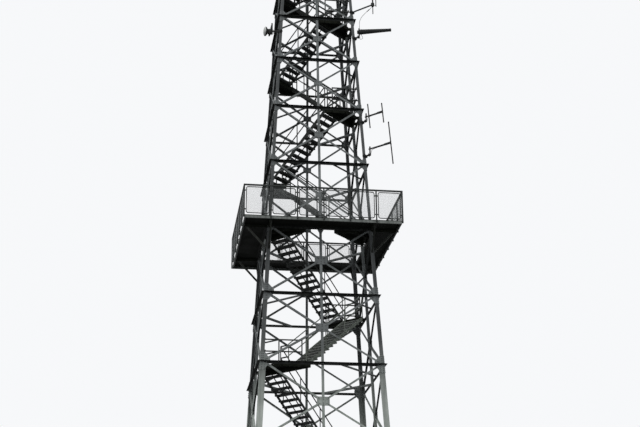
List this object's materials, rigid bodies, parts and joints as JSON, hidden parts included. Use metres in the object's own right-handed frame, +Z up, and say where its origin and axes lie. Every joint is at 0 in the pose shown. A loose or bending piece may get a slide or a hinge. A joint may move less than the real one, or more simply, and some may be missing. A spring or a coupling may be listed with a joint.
{
  "type": "lattice lookout tower",
  "caption": "Tapering square steel lattice tower with a zigzag stair inside and a railed, cantilevered viewing deck.",
  "frame": {"origin": "middle of the underside of the front left leg's foot plate", "axes": "+Z up, front face on the -Y side, +X to the right as seen from the front"},
  "size_m": [5.76, 5.76, 30.4402],
  "materials": {
    "tower_paint": "grey-green paint on rolled steel angles, dull",
    "railing_paint": "dark grey paint on welded frames",
    "stair_paint": "dark grey paint, worn on the treads",
    "floor_plate": "dark painted steel plate",
    "antenna_paint": "matt grey covers and painted arms"
  },
  "bodies": {
    "root": {"leg_front_left": "tower_paint", "leg_front_right": "tower_paint", "leg_back_right": "tower_paint", "leg_back_left": "tower_paint", "lattice_front_lower": "tower_paint", "lattice_right_lower": "tower_paint", "lattice_back_lower": "tower_paint", "lattice_left_lower": "tower_paint", "lattice_front_upper": "tower_paint", "lattice_right_upper": "tower_paint", "lattice_back_upper": "tower_paint", "lattice_left_upper": "tower_paint", "entrance_knees": "tower_paint", "plan_bracing_lower": "tower_paint", "plan_bracing_upper": "tower_paint", "stair_flight_01": "stair_paint", "stair_flight_02": "stair_paint", "stair_flight_03": "stair_paint", "stair_flight_04": "stair_paint", "stair_flight_05": "stair_paint", "stair_flight_06": "stair_paint", "stair_flight_07": "stair_paint", "stair_flight_08": "stair_paint", "stair_flight_09": "stair_paint", "stair_flight_10": "stair_paint", "stair_flight_11": "stair_paint", "stair_flight_12": "stair_paint", "stair_flight_13": "stair_paint", "landings_lower": "floor_plate", "landings_upper": "floor_plate", "landing_guards": "railing_paint", "deck_floor": "floor_plate", "deck_edge_beams": "tower_paint", "deck_outriggers": "tower_paint", "deck_knee_braces": "tower_paint", "deck_railing_front": "railing_paint", "deck_railing_right": "railing_paint", "deck_railing_back": "railing_paint", "deck_railing_left": "railing_paint", "top_floor": "floor_plate", "top_railing": "railing_paint", "antenna_whip": "antenna_paint", "antenna_boom": "antenna_paint", "antenna_dish": "antenna_paint", "antenna_rod": "antenna_paint", "antenna_rod_pair": "antenna_paint"}
  },
  "joints": []
}
